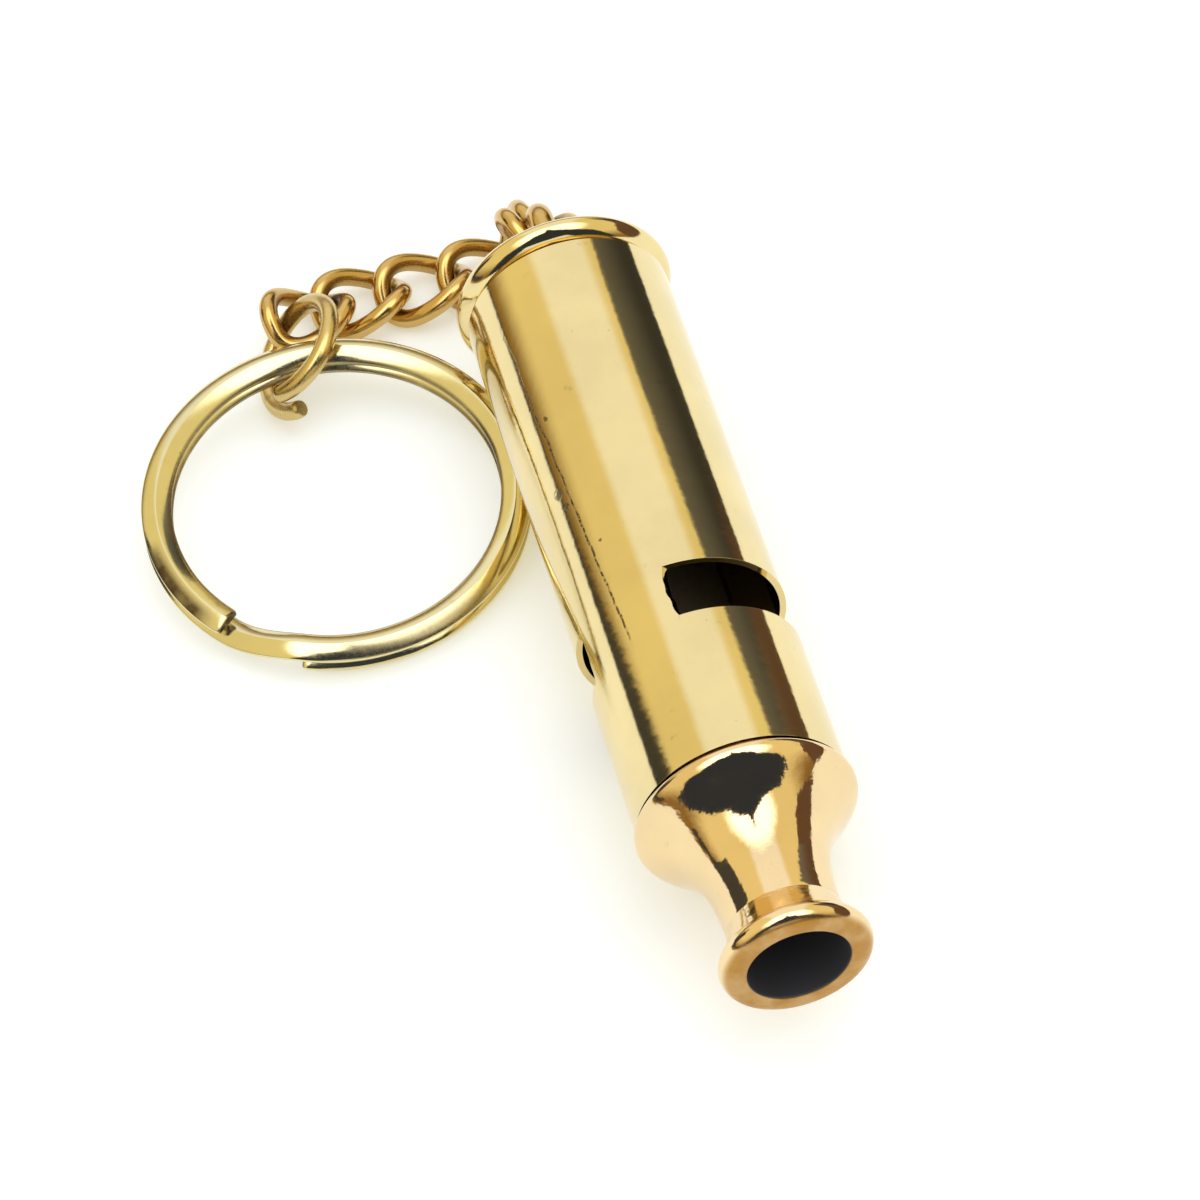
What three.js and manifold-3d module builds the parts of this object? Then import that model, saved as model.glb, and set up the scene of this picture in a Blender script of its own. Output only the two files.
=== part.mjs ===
// A brass tube whistle with two windows, on a curb chain with a split key ring.
// Millimetres, Z up. The whistle lies on its side along Y, with its mouth towards -Y.
// Places along the whistle are measured from the cap's rim towards the mouth.
import * as THREE from "three";
import { mergeVertices } from "three/addons/utils/BufferGeometryUtils.js";
import Module from "manifold-3d";

const wasm = await Module();
wasm.setup();

// Fits
const FIT = 0.3; // clearance between pieces that meet
const SIDES = 48; // sides of a turned piece

// Tube, with two windows cut straight across on opposite sides
const TUBE_R = 8.0;
const TUBE_WALL = 0.5;
const TUBE_LEN = 49.6;
const WINDOW_BACK = 16.75; // from the tube's mouth end to the sharp edge that the air meets
const WINDOW_LEN = 4.65;
const WINDOW_DEPTH = 3.94;
const WINDOW_TURN = 52; // degrees from straight up

// Cap with a beaded rim and an eye riveted through its middle
const RIM_RISE = 0.52; // the bead stands this far above the tube
const RIM_LEN = 2.3;
const CAP_PLATE = 1.5;
const CAP_CROWN = 0.2; // the flat face stands this far past the bead
const SPIGOT_LEN = 3.0;
const SPIGOT_WALL = 0.9;
const EYE_R = 2.5;
const EYE_WIRE = 2.0;
const EYE_COLLAR_R = 1.9;
const EYE_COLLAR_LEN = 0.8;

// Mouthpiece, turned from bar
const MOUTH_LEN = 14.0;
const SHOULDER_RISE = 0.3; // above the tube
const SHOULDER_LEN = 0.4;
const NECK_R = 4.2;
const NECK_AT = 0.714; // share of the length where the waist is narrowest
const SWEEP = 1.5; // the waist draws in steepest this far past the shoulder
const CUFF_RISE = 0.75; // the cuff flares this far from the neck to the lip
const LIP_R = 5.65;
const LIP_ROLL = 0.95;
const BORE_R = 3.75;

// Works inside the tube
const PLUG_LEN = 6.9;
const WINDWAY = 0.9; // depth of the two air slots past the plug
const DIVIDER = 0.8;
const STOP_LEN = 1.5;
const STOP_AT = 8.0;

// Curb chain
const WIRE = 1.36;
const LINK_GAP = 0.28;
const LINK_LEN = 6.8; // between wire centres
const LINK_WIDTH = 5.2;
const LINK_TWIST = 38; // degrees of twist at each end
const SQUARENESS = 2.5; // 2 is an ellipse

// Jump ring, one turn of wire with its ends side by side
const JUMP_R = 4.15;
const JUMP_TURN = 372;
const JUMP_SPRING = 0.8; // its second end is sprung outwards by this much

// Split ring, two coils of half-round wire with one jog
const RING_R = 15.0;
const RING_WIDTH = 2.35;
const RING_THICK = 0.95;
const RING_EDGE = 0.3; // upright edge of the wire, under its dome
const DOME = 1.25; // 2 is an ellipse, less is more like a roof
const COIL_GAP = 0.16;
const RING_START = 232; // degrees round the ring to the upper cut end
const RING_JOG = 17; // degrees taken by the step from coil to coil
const RING_PITCH = 5.1; // degrees that the far side is raised
const RING_ROLL = 2.3;

const rad = THREE.MathUtils.degToRad;
const axisHeight = (TUBE_R + RIM_RISE) * Math.cos(Math.PI / SIDES);
const boreR = TUBE_R - TUBE_WALL;
const windowAt = TUBE_LEN - WINDOW_BACK;
const spigotR = boreR - FIT;
const spigotInnerR = spigotR - SPIGOT_WALL;

// Leaves a geometry with only its shared corners and its true triangles.
function solid(geometry) {
  geometry.deleteAttribute("normal");
  geometry.deleteAttribute("uv");
  const merged = mergeVertices(geometry, 1e-4);
  const corners = merged.index.array;
  const kept = [];
  for (let i = 0; i < corners.length; i += 3) {
    const [a, b, c] = corners.slice(i, i + 3);
    if (a !== b && b !== c && c !== a) kept.push(a, b, c);
  }
  merged.setIndex(kept);
  return merged;
}

function body(geometry) {
  const clean = solid(geometry);
  return new wasm.Manifold(new wasm.Mesh({
    numProp: 3,
    vertProperties: new Float32Array(clean.attributes.position.array),
    triVerts: new Uint32Array(clean.index.array),
  }));
}

function geometryOf(manifold) {
  const mesh = manifold.getMesh();
  const geometry = new THREE.BufferGeometry();
  geometry.setAttribute("position", new THREE.BufferAttribute(mesh.vertProperties, 3));
  geometry.setIndex(new THREE.BufferAttribute(mesh.triVerts, 1));
  return geometry;
}

// A turned piece. The outline is [radius, place along the whistle], from axis to axis or all round a wall.
function turned(outline, sides = SIDES) {
  const points = outline.map(([radius, along]) => new THREE.Vector2(radius, -along));
  if (THREE.ShapeUtils.area(points) < 0) points.reverse();
  if (points[0].x > 0) points.push(points[0].clone());
  // A flat, not a corner, faces straight down, so that the piece lies steady.
  return new THREE.LatheGeometry(points, sides, Math.PI / sides);
}

// Points of a round from one angle to another, as part of a turned outline.
function round(radius, along, size, from, to, steps) {
  const points = [];
  for (let i = 0; i <= steps; i++) {
    const angle = rad(from + (to - from) * i / steps);
    points.push([radius + size * Math.cos(angle), along + size * Math.sin(angle)]);
  }
  return points;
}

// A block on one side of the axis, facing outwards along local Z from the given height.
function blockAbove(height, along, length) {
  const tall = TUBE_R;
  const block = new THREE.BoxGeometry(4 * TUBE_R, length, tall);
  block.translate(0, -(along + length / 2), height + tall / 2);
  return block;
}

function brass(color, roughness) {
  return new THREE.MeshStandardMaterial({ color, roughness, metalness: 1 });
}

const polished = brass(0xdcbc6c, 0.12);
const rosy = brass(0xdab272, 0.14);
const dull = brass(0x4a3a1e, 0.5);
const chainBrass = brass(0xb98a36, 0.28);
const ringBrass = brass(0xd6c276, 0.2);

function piece(name, geometry, material) {
  const mesh = new THREE.Mesh(solid(geometry), material);
  mesh.name = name;
  return mesh;
}

const whistle = new THREE.Group();
whistle.position.z = axisHeight;

// The tube: a drawn wall, then a straight cut across each side.
function makeTube() {
  const end = TUBE_LEN;
  const wall = turned([[TUBE_R, FIT], [TUBE_R, end], [boreR, end], [boreR, FIT]]);
  let tube = body(wall);
  for (const side of [0, 180]) {
    const cutter = blockAbove(TUBE_R - WINDOW_DEPTH, windowAt, WINDOW_LEN);
    cutter.rotateY(rad(WINDOW_TURN + side));
    tube = tube.subtract(body(cutter));
  }
  return piece("body_tube", geometryOf(tube), polished);
}

// The cap: a bead rolled round a flat disc, on a spigot that fits the tube, with a hole for the eye.
function makeCap() {
  const bead = RIM_LEN / 2;
  const face = -(RIM_LEN + CAP_CROWN);
  const hole = EYE_WIRE / 2 + FIT;
  const outline = [
    [hole, face],
    [TUBE_R - bead, face],
    ...round(TUBE_R + RIM_RISE - bead, -bead, bead, -70, 70, 8),
    [spigotR, 0],
    [spigotR, SPIGOT_LEN],
    [spigotInnerR, SPIGOT_LEN],
    [spigotInnerR, face + CAP_PLATE],
    [hole, face + CAP_PLATE],
  ];
  return piece("end_cap", turned(outline), polished);
}

// The eye: a wire loop standing on a collar, its shank headed over inside the cap.
const eyeStand = RIM_LEN + CAP_CROWN + FIT + EYE_COLLAR_LEN / 2 + EYE_WIRE / 2 + EYE_R;
function makeEye() {
  const loop = new THREE.TorusGeometry(EYE_R, EYE_WIRE / 2, 10, 40);
  loop.rotateY(Math.PI / 2);
  loop.translate(0, eyeStand, 0);
  const seat = -(RIM_LEN + CAP_CROWN + FIT);
  const inside = -(RIM_LEN + CAP_CROWN - CAP_PLATE - FIT);
  const shank = EYE_WIRE / 2;
  const post = turned([
    [0, seat - EYE_COLLAR_LEN],
    [EYE_COLLAR_R - 0.4, seat - EYE_COLLAR_LEN],
    [EYE_COLLAR_R, seat - EYE_COLLAR_LEN + 0.4],
    [EYE_COLLAR_R, seat],
    [shank, seat],
    [shank, inside],
    [EYE_COLLAR_R, inside],
    [EYE_COLLAR_R - 0.5, inside + EYE_COLLAR_LEN],
    [0, inside + EYE_COLLAR_LEN],
  ], 24);
  return piece("cap_eye", geometryOf(body(loop).add(body(post))), chainBrass);
}

// The mouthpiece: narrow shoulder, trumpet-shaped waist, flared cuff and rolled lip outside.
// Its bore opens towards the tube.
function makeMouthpiece() {
  const start = TUBE_LEN + FIT;
  const end = start + MOUTH_LEN;
  const shoulderR = TUBE_R + SHOULDER_RISE;
  const coneStart = start + SHOULDER_LEN;
  const neck = start + MOUTH_LEN * NECK_AT;
  const waist = [];
  const steps = 12;
  for (let i = 1; i <= steps; i++) {
    // Closer points near the shoulder, where the waist bends most.
    const along = (neck - coneStart) * (i / steps) ** 1.5;
    const run = along / SWEEP;
    waist.push([NECK_R + (shoulderR - NECK_R) * (1 + run) * Math.exp(-run), coneStart + along]);
  }
  const lip = end - LIP_ROLL;
  const lipBack = lip - LIP_ROLL;
  const bend = 0.35;
  const outline = [
    [spigotR, start - SPIGOT_LEN],
    [spigotR, start],
    [shoulderR - bend, start],
    ...round(shoulderR - bend, start + bend, bend, -60, 0, 2),
    [shoulderR, coneStart],
    ...waist,
    [NECK_R + CUFF_RISE * 0.4, (neck + lipBack) / 2],
    [NECK_R + CUFF_RISE, lipBack],
    ...round(LIP_R - LIP_ROLL, lip, LIP_ROLL, -60, 80, 9),
    [LIP_R - LIP_ROLL, end],
    [BORE_R + 0.25, end],
    [BORE_R, end - 0.25],
    [BORE_R, coneStart + 2.5 * SWEEP],
    [spigotInnerR, start + 0.5],
    [spigotInnerR, start - SPIGOT_LEN],
  ];
  return piece("mouthpiece", turned(outline), rosy);
}

// The plug under the windows: a slug with two flats that leave an air slot to each window.
const plugAt = windowAt + WINDOW_LEN + 0.1;
function makePlug() {
  const end = plugAt + PLUG_LEN;
  const slug = turned([[0, plugAt], [spigotR, plugAt], [spigotR, end], [0, end]]);
  let plug = body(slug);
  for (const side of [0, Math.PI]) {
    const flat = blockAbove(spigotR - WINDWAY, plugAt - 1, PLUG_LEN + 2);
    flat.rotateY(side);
    plug = plug.subtract(body(flat));
  }
  return piece("fipple_plug", geometryOf(plug), dull);
}

// The plate that parts the tube into two sound chambers.
const dividerAt = SPIGOT_LEN + FIT;
function makeDivider() {
  const length = plugAt - FIT - dividerAt;
  const plate = new THREE.BoxGeometry(2 * spigotR, length, DIVIDER);
  plate.translate(0, -(dividerAt + length / 2), 0);
  return piece("divider_plate", plate, dull);
}

// The half disc that shortens the lower chamber, so that the whistle sounds two notes.
function makeStop() {
  const end = STOP_AT + STOP_LEN;
  const disc = turned([[0, STOP_AT], [spigotR, STOP_AT], [spigotR, end], [0, end]]);
  const upper = blockAbove(-(DIVIDER / 2 + FIT), STOP_AT - 1, STOP_LEN + 2);
  return piece("chamber_stop", geometryOf(body(disc).subtract(body(upper))), dull);
}

const works = new THREE.Group();
works.rotation.y = rad(WINDOW_TURN);
works.add(makePlug(), makeDivider(), makeStop());
whistle.add(makeTube(), makeCap(), makeEye(), makeMouthpiece(), works);

// A curb link's wire: a squarish oval, turned about its length by an angle that grows along it.
class CurbLink extends THREE.Curve {
  getPoint(t, target = new THREE.Vector3()) {
    const angle = 2 * Math.PI * t;
    const squarish = (v) => Math.sign(v) * Math.abs(v) ** (2 / SQUARENESS);
    const share = squarish(Math.cos(angle));
    const across = LINK_WIDTH / 2 * squarish(Math.sin(angle));
    const twist = -rad(LINK_TWIST) * share;
    return target.set(LINK_LEN / 2 * share, across * Math.cos(twist), across * Math.sin(twist));
  }
}

// The jump ring's wire: a turn and a little more that also steps sideways.
class OpenRing extends THREE.Curve {
  getPoint(t, target = new THREE.Vector3()) {
    const angle = rad(JUMP_TURN * t + JUMP_START);
    const aside = (WIRE + LINK_GAP) * (0.5 - t) * JUMP_TURN / 360;
    const radius = JUMP_R + JUMP_SPRING * THREE.MathUtils.smoothstep(t, 0.75, 1);
    return target.set(radius * Math.cos(angle), radius * Math.sin(angle), aside);
  }
}

// The key ring's wire: one coil, a jog down by one coil, and a second coil below the first.
class SplitCoil extends THREE.Curve {
  getPoint(t, target = new THREE.Vector3()) {
    const coil = 360 - RING_JOG;
    const run = (2 * coil + RING_JOG) * t;
    const angle = rad(RING_START - run);
    const radius = RING_R - RING_WIDTH / 2;
    const step = THREE.MathUtils.smoothstep(run, coil, 360);
    const height = (RING_THICK + COIL_GAP) * (0.5 - step);
    return target.set(radius * Math.cos(angle), radius * Math.sin(angle), height);
  }
}

// A wire section with rounded corners. Power 2 is an ellipse, higher is squarer.
function section(halfX, halfY, power, count) {
  const points = [];
  for (let i = 0; i < count; i++) {
    const angle = 2 * Math.PI * (i + 0.5) / count;
    const soft = (v) => Math.sign(v) * Math.abs(v) ** (2 / power);
    points.push(new THREE.Vector2(halfX * soft(Math.cos(angle)), halfY * soft(Math.sin(angle))));
  }
  return new THREE.Shape(points);
}

// The key ring's wire section: flat below, with a low dome above. Its X axis points down.
function halfRound() {
  const half = RING_WIDTH / 2;
  const below = RING_THICK / 2;
  const points = [new THREE.Vector2(below, -half), new THREE.Vector2(below, half)];
  for (const share of [1, 0.8, 0.4, 0, -0.4, -0.8, -1]) {
    const rise = (1 - Math.abs(share) ** DOME) ** (1 / DOME);
    points.push(new THREE.Vector2(below - RING_EDGE - (RING_THICK - RING_EDGE) * rise, half * share));
  }
  return new THREE.Shape(points);
}

// How each link lies, in degrees, and where its near end sits in the link before it, in wire spacings.
const LAYS = [
  { heading: -127, dip: -44, roll: -178, seat: [-1.02, -0.97, 0.71] },
  { heading: 97, dip: -53, roll: -54, seat: [-1.26, 1.09, 0.78] },
  { heading: -2, dip: 0, roll: 0, seat: [-0.34, 1.54, 0.5] },
  { heading: -2, dip: 0, roll: 0, seat: [1, -0.03, 0] },
  { heading: -2, dip: 0, roll: 0, seat: [1, -0.03, 0] },
  { heading: 27, dip: 20, roll: -179, seat: [1.03, 0.36, -0.13] },
];
const JUMP_LAY = { heading: -123, dip: 18, roll: 38, seat: [0.66, 0.55, -0.63] };
const JUMP_START = 7; // degrees round the jump ring to its first end
const JUMP_NEAR = 230; // degrees round the jump ring to the point held by the last link
const RING_REST = 0.9; // the key ring crosses the jump ring this far from its centre
const RING_HANG = 0.33; // and its two coils lie this far above that centre

// Turns a piece to its lay and sets its near point beside the hook. Returns its far point.
function hang(mesh, lay, hook, near, far) {
  mesh.rotation.set(rad(lay.roll), rad(lay.dip), rad(lay.heading), "ZYX");
  const seat = new THREE.Vector3(...lay.seat).multiplyScalar(WIRE + LINK_GAP);
  mesh.position.copy(hook).add(seat).sub(near.clone().applyEuler(mesh.rotation));
  return far.clone().applyEuler(mesh.rotation).add(mesh.position);
}

const chain = new THREE.Group();
let hook = new THREE.Vector3(0, eyeStand + EYE_R, axisHeight);
const linkEnd = new THREE.Vector3(LINK_LEN / 2, 0, 0);
LAYS.forEach((lay, index) => {
  const wire = new THREE.TubeGeometry(new CurbLink(), 40, WIRE / 2, 8, true);
  const link = piece(`chain_link_${index + 1}`, wire, chainBrass);
  hook = hang(link, lay, hook, linkEnd, linkEnd.clone().negate());
  chain.add(link);
});

const jumpWire = new OpenRing();
const jumpRing = piece("jump_ring", new THREE.ExtrudeGeometry(section(WIRE / 2, WIRE / 2, 2, 8), {
  steps: 48, bevelEnabled: false, extrudePath: jumpWire,
}), chainBrass);
const jumpNear = jumpWire.getPoint((JUMP_NEAR - JUMP_START) / JUMP_TURN);
const jumpCentre = hang(jumpRing, JUMP_LAY, hook, jumpNear, new THREE.Vector3());
chain.add(jumpRing);

const splitRing = piece("split_ring", new THREE.ExtrudeGeometry(
  halfRound(),
  { steps: 148, bevelEnabled: false, extrudePath: new SplitCoil() },
), ringBrass);
// The ring lies beside the tube, with its near side on the floor and its far side up on the jump ring.
const ringMid = RING_R - RING_WIDTH / 2;
const ringX = -(0.76 * TUBE_R + RING_R);
const ringY = jumpCentre.y - RING_REST - Math.sqrt(ringMid ** 2 - (jumpCentre.x - ringX) ** 2);
splitRing.rotation.set(rad(RING_PITCH), rad(RING_ROLL), 0);
const ringUp = new THREE.Vector3(0, 0, 1).applyEuler(splitRing.rotation);
const ringSlope = -(ringUp.x * (jumpCentre.x - ringX) + ringUp.y * (jumpCentre.y - ringY)) / ringUp.z;
splitRing.position.set(ringX, ringY, jumpCentre.z + RING_HANG - ringSlope);
chain.add(splitRing);

const part = new THREE.Group();
part.add(whistle, chain);
part.updateMatrixWorld(true);
// The origin is under the middle of the whole object, on the surface that it lies on.
const box = new THREE.Box3().setFromObject(part, true);
const middle = box.getCenter(new THREE.Vector3());
part.position.set(-middle.x, -middle.y, -box.min.z);
part.updateMatrixWorld(true);

export default part;
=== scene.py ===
"""Dresses the brass whistle with its curb chain and key ring, as a small add-on that runs as a script.

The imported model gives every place. Each visible piece is a surface worked out with numpy in the
model's own frame, in metres: X across the whistle, Y along it towards the cap, Z up.
"""
import math

import bpy
import numpy as np
from mathutils import Matrix, Vector


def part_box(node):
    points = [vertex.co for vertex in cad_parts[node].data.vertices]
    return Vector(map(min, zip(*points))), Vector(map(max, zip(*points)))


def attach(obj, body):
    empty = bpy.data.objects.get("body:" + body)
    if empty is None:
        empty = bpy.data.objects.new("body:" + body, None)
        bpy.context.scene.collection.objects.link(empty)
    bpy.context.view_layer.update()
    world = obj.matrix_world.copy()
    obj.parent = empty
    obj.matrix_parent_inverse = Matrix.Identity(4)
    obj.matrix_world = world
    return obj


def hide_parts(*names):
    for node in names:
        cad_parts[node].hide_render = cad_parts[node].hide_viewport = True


bl_info = {
    "name": "Brass Whistle",
    "version": (1, 0, 0),
    "blender": (4, 5, 0),
    "location": "3D View > Sidebar > Whistle",
    "description": "Builds a polished brass whistle with a curb chain and a split key ring",
    "category": "Add Mesh",
}

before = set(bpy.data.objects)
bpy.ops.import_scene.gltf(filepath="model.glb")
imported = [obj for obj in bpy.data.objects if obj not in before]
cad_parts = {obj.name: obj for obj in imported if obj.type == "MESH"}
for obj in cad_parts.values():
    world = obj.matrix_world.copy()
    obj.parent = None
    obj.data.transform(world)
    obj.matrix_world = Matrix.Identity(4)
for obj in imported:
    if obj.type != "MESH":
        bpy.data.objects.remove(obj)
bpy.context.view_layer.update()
MM = 0.001

# The whistle's axis, the cap's rim and the ends of the pieces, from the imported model.
# Places along the whistle run from the cap's rim towards the mouth.
TUBE_LOW, TUBE_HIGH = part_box("body_tube")
AXIS_X = (TUBE_LOW.x + TUBE_HIGH.x) / 2
AXIS_Z = (TUBE_LOW.z + TUBE_HIGH.z) / 2
FIT = 0.3 * MM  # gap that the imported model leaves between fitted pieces
RIM_Y = TUBE_HIGH.y + FIT
TUBE_END = RIM_Y - TUBE_LOW.y
CAP_FACE = RIM_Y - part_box("end_cap")[1].y
MOUTH_END = RIM_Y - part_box("mouthpiece")[0].y


# Settings

def length(name, mm, note):
    """A length property, given in millimetres."""
    return bpy.props.FloatProperty(
        name=name, description=note, default=mm * MM, unit="LENGTH", subtype="DISTANCE", precision=5)


def angle(name, degrees, note):
    """An angle property, given in degrees."""
    return bpy.props.FloatProperty(
        name=name, description=note, default=math.radians(degrees), unit="ROTATION", subtype="ANGLE")


def share(name, value, note):
    """A property from 0 to 1."""
    return bpy.props.FloatProperty(
        name=name, description=note, default=value, min=0.0, max=1.0, subtype="FACTOR")


def level(name, value, note):
    """A level of light, where 1 shows as white."""
    return bpy.props.FloatProperty(name=name, description=note, default=value, min=0.0)


def colour(name, value, note):
    """A linear colour property."""
    return bpy.props.FloatVectorProperty(
        name=name, description=note, default=value, size=3, min=0.0, max=4.0, subtype="COLOR")


class WhistleSizes(bpy.types.PropertyGroup):
    """Sizes of the tube, cap, eye and mouthpiece."""
    tube_radius: length("Tube radius", 8.0, "Outside radius of the drawn tube")
    tube_wall: length("Tube wall", 0.5, "Thickness of the tube's wall")
    edge_wear: length("Edge wear", 0.05, "Width of the worn edges of the tube and its windows")
    window_place: length("Window", 32.85, "From the cap's rim to the window's sharp edge")
    window_length: length("Window length", 4.65, "Length of each window along the tube")
    window_depth: length("Window depth", 3.94, "How deep the straight cut goes into the tube")
    window_turn: angle("Window turn", 52, "Turn of the upper window from straight up")
    bead_rise: length("Bead rise", 0.52, "How far the cap's bead stands above the tube")
    bead_length: length("Bead length", 2.3, "Length of the cap's bead along the whistle")
    cap_plate: length("Cap plate", 1.5, "Thickness of the cap's flat end")
    spigot_length: length("Spigot", 3.0, "Length that the cap and mouthpiece reach into the tube")
    spigot_wall: length("Spigot wall", 0.9, "Wall of the spigots")
    shoulder_rise: length("Shoulder rise", 0.3, "How far the mouthpiece's shoulder stands above the tube")
    shoulder_length: length("Shoulder length", 0.4, "Length of the shoulder along the whistle")
    shoulder_round: length("Shoulder round", 0.35, "Round at the shoulder's edge")
    sweep: length("Waist sweep", 1.5, "The waist draws in steepest this far past the shoulder")
    neck_radius: length("Neck radius", 4.2, "Radius of the mouthpiece's waist")
    neck_share: share("Neck place", 0.714, "Share of the mouthpiece's length where the waist is")
    cuff_rise: length("Cuff rise", 0.75, "How far the cuff flares from the neck to the lip")
    lip_radius: length("Lip radius", 5.65, "Outside radius of the rolled lip")
    lip_roll: length("Lip roll", 0.95, "Radius of the lip's roll")
    lip_edge: length("Lip edge", 0.25, "Round where the lip's face meets the bore")
    bore_radius: length("Bore radius", 3.75, "Radius of the mouth's bore")
    eye_radius: length("Eye radius", 2.5, "Radius of the cap's eye, to the middle of its wire")
    eye_wire: length("Eye wire", 2.0, "Thickness of the eye's wire")
    collar_radius: length("Collar radius", 1.9, "Radius of the eye's collar and of its riveted end")
    collar_height: length("Collar height", 0.8, "Height of the eye's collar and of its riveted end")


class ChainSizes(bpy.types.PropertyGroup):
    """Sizes of the curb chain, jump ring and key ring."""
    wire: length("Wire", 1.46, "Thickness of the wire of the links and the jump ring")
    link_length: length("Link length", 6.8, "Length of a link between wire centres")
    link_width: length("Link width", 5.2, "Width of a link between wire centres")
    link_twist: angle("Link twist", 38, "Twist at each end of a curb link")
    jump_radius: length("Jump ring radius", 4.15, "Radius of the jump ring to the middle of its wire")
    jump_turn: angle("Jump ring turn", 372, "How far the jump ring's wire goes round")
    jump_step: length("Jump ring step", 1.64, "Sideways step of the jump ring in one turn")
    jump_spring: length("Jump ring spring", 0.8, "How far its second end is sprung outwards")
    ring_radius: length("Key ring radius", 15.0, "Outside radius of the split ring")
    ring_width: length("Key ring width", 2.35, "Width of the split ring's wire")
    ring_thick: length("Key ring thickness", 0.95, "Thickness of one coil")
    ring_edge: length("Key ring edge", 0.3, "Upright edge of the coil's wire, under its dome")
    ring_start: angle("Key ring end", 220, "Where the upper coil's cut end is, from +X towards +Y")
    ring_jog: angle("Key ring jog", 26, "How far round the ring the step from coil to coil goes")
    coil_gap: length("Coil gap", 0.16, "Gap between the two coils")


class BrassFinish(bpy.types.PropertyGroup):
    """Colours of the brass."""
    tube: colour("Tube brass", (0.775, 0.628, 0.312), "Pale gold brass of the tube and cap")
    mouth: colour("Mouthpiece brass", (0.82, 0.62, 0.34), "Slightly rosier brass of the mouthpiece")
    ring: colour("Key ring brass", (0.74, 0.65, 0.36), "Greenish yellow brass of the key ring")
    jump: colour("Jump ring brass", (0.62, 0.46, 0.18), "Slightly greener brass of the jump ring")
    chain: colour("Chain brass", (0.62, 0.41, 0.14), "Deep orange brass of the chain and the eye")
    # The tarnish colour also paints shade and dark reflections on the chain, the cap's groove and the key
    # ring.
    tarnish: colour("Tarnish", (0.10, 0.062, 0.028), "Brown film and pits")
    # On the lip's face the patina also stands for a painted dark reflection of the shaded floor.
    patina: colour("Patina", (0.43, 0.215, 0.042), "Orange brown film of the mouthpiece")
    bore: colour("Bore", (0.042, 0.04, 0.045), "Dull dark oxide in the mouth's bore")
    inside: colour("Inside", (0.20, 0.16, 0.10), "Dull dark brass of the works inside the tube")


class StageLooks(bpy.types.PropertyGroup):
    """Floor, light and the boards that the metal reflects."""
    backdrop: colour("Backdrop", (0.965, 1.0, 0.995), "White beyond the floor, very slightly cool")
    floor: colour("Floor", (0.75, 0.81, 0.91), "Pale paint of the floor")
    lift: share("Lift", 0.4, "How far the floor's shadows are lifted towards white")
    # The warm lift shows in the floor's shadows as painted warm light, as if bounced off the brass; against
    # the floor's cool paint it adds up to white in the open.
    lift_tint: colour("Lift tint", (1.0, 0.92, 0.66), "Warm tint that evens out the floor's cool paint")
    lamp_power: bpy.props.FloatProperty(
        name="Lamp power", description="Power of the soft lamp", default=1.2, min=0.0, unit="POWER")
    lamp_size: length("Lamp size", 700.0, "Width of the round lamp")
    room: colour("Room light", (0.9, 0.9, 0.9), "Even light of the room")
    sky: level("Sky", 1.12, "Level of the bright ceiling in reflections")
    glow: level("Glow", 2.6, "Level of the brightest part of the ceiling in reflections")
    warm: colour("Warm sides", (0.97, 0.84, 0.47), "Warm sides of the room in reflections")
    low: colour("Low sides", (0.30, 0.18, 0.05), "Sides of the room close to the floor in reflections")
    dark: colour("Dark boards", (0.066, 0.064, 0.062), "Boards that give the dark stripes")
    brown: colour("Brown board", (0.15, 0.085, 0.055), "Board beside the mouthpiece")
    cool: colour("Near board", (0.034, 0.042, 0.066), "Board on the camera's side")


def sizes():
    """The scene's settings: the whistle's sizes, the chain's sizes, the brass and the stage."""
    scene = bpy.context.scene
    return scene.whistle_sizes, scene.whistle_chain, scene.whistle_brass, scene.whistle_stage


# Surfaces

def faces_out(points, quads):
    """True if quads face outwards, which makes the volume of their triangles about the middle positive."""
    a, b, c, d = (points[quads[:, i]] - points.mean(axis=0) for i in range(4))
    volume = np.einsum("ij,ij->", a, np.cross(b, c)) + np.einsum("ij,ij->", a, np.cross(c, d))
    return volume >= 0


def skin(points, close_rows, close_columns, cap_ends=False):
    """Quads between neighbouring points of a grid, wrapped in a direction that closes on itself.

    With cap_ends, the first and last rows get one flat face each. Faces are turned to point outwards.
    """
    rows, columns = points.shape[:2]
    index = np.arange(rows * columns).reshape(rows, columns)
    below = index if close_rows else index[:-1]
    above = np.roll(index, -1, axis=0) if close_rows else index[1:]
    if close_columns:
        below_next, above_next = np.roll(below, -1, axis=1), np.roll(above, -1, axis=1)
    else:
        below_next, above_next = below[:, 1:], above[:, 1:]
        below, above = below[:, :-1], above[:, :-1]
    quads = np.stack([below, below_next, above_next, above], axis=-1).reshape(-1, 4)
    flat = points.reshape(-1, 3)
    faces = quads.tolist()
    if cap_ends:
        faces += [index[0][::-1].tolist(), index[-1].tolist()]
    if not faces_out(flat, quads):
        faces = [face[::-1] for face in faces]
    return flat, faces


def make_mesh(name, points, faces, crease=35, **layers):
    """A smooth mesh object at the origin, sharp where faces meet at more than crease degrees.

    layers are values from 0 to 1 for each point, which the finishes read: one says how dark the brass is
    painted there, as tarnish and as painted shade, and rise how high it stands on a board.
    """
    mesh = bpy.data.meshes.new(name)
    mesh.from_pydata(points.tolist(), [], faces)
    for layer_name, values in layers.items():
        layer = mesh.attributes.new(layer_name, "FLOAT", "POINT")
        layer.data.foreach_set("value", values.ravel().astype(np.float32))
    mesh.polygons.foreach_set("use_smooth", np.ones(len(mesh.polygons), dtype=bool))
    mesh.set_sharp_from_angle(angle=math.radians(crease))
    mesh.update()
    piece = bpy.data.objects.new(name, mesh)
    bpy.context.scene.collection.objects.link(piece)
    return piece


def settle(piece, body, slot, material, *nodes):
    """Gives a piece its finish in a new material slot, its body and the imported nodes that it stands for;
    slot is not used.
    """
    piece.data.materials.append(material)
    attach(piece, body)
    if nodes:
        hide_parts(*nodes)


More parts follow.
